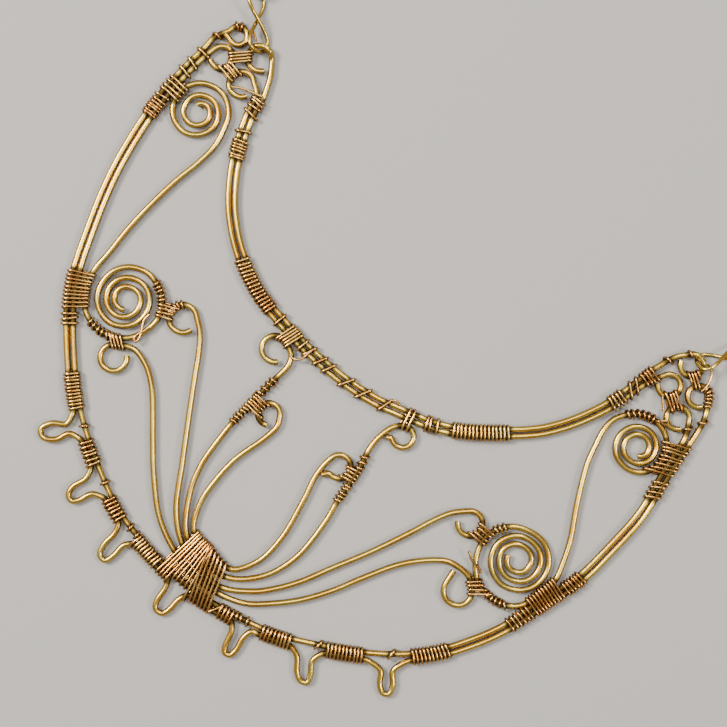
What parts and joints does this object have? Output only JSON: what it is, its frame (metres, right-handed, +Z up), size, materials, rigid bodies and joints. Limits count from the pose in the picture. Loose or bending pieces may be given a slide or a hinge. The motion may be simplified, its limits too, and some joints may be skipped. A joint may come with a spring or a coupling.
{
  "type": "bib necklace",
  "caption": "Flat bib necklace of bent brass wire scrolls, spirals and picots, bound with thin copper-coloured wire, on a chain of figure-eight links with a hook clasp.",
  "frame": {"origin": "centre of the whole necklace's bounding box, on the surface it lies on", "axes": "+Z up out of the face, +Y from the bib towards the clasp, +X to the right seen from above with the clasp at the top"},
  "size_m": [0.1382, 0.2038, 0.0038],
  "materials": {
    "brass": "satin, aged golden brown",
    "binding_wire": "satin copper-bronze wire, close wound"
  },
  "bodies": {
    "root": {"rim_wire": "brass", "picot_wire": "brass", "neckline_lower": "brass", "neckline_upper": "brass", "left_scroll": "brass", "right_scroll": "brass", "fan_wire_1": "brass", "fan_wire_2": "brass", "fan_wire_3": "brass", "fan_wire_4": "brass", "rim_binding_1": "binding_wire", "rim_binding_2": "binding_wire", "rim_binding_3": "binding_wire", "rim_binding_4": "binding_wire", "rim_binding_5": "binding_wire", "rim_binding_6": "binding_wire", "rim_binding_7": "binding_wire", "fan_binding_left": "binding_wire", "fan_binding_middle": "binding_wire", "fan_binding_right": "binding_wire", "rim_binding_8": "binding_wire", "rim_binding_9": "binding_wire", "rim_binding_10": "binding_wire", "rim_binding_11": "binding_wire", "rim_binding_12": "binding_wire", "rim_binding_13": "binding_wire", "rim_binding_14": "binding_wire", "rim_binding_15": "binding_wire", "rim_binding_16": "binding_wire", "neckline_binding_1": "binding_wire", "neckline_binding_2": "binding_wire", "neckline_binding_3": "binding_wire", "neckline_binding_4": "binding_wire", "neckline_binding_5": "binding_wire", "neckline_binding_6": "binding_wire", "neckline_binding_7": "binding_wire", "neckline_binding_8": "binding_wire", "left_scroll_binding_1": "binding_wire", "left_scroll_binding_2": "binding_wire", "right_scroll_binding_1": "binding_wire", "right_scroll_binding_2": "binding_wire", "fan_1_left_binding": "binding_wire", "fan_1_right_binding": "binding_wire", "fan_2_left_binding": "binding_wire", "fan_2_right_binding": "binding_wire", "fan_3_left_binding_1": "binding_wire", "fan_3_left_binding_2": "binding_wire", "fan_3_left_binding_3": "binding_wire", "fan_3_right_binding_1": "binding_wire", "fan_3_right_binding_2": "binding_wire", "fan_3_right_binding_3": "binding_wire", "left_eyelet_binding_1": "binding_wire", "left_eyelet_binding_2": "binding_wire", "right_eyelet_binding_1": "binding_wire", "right_eyelet_binding_2": "binding_wire", "right_eyelet_binding_3": "binding_wire", "chain_left": "brass", "chain_right": "brass", "clasp_hook": "brass"}
  },
  "joints": []
}
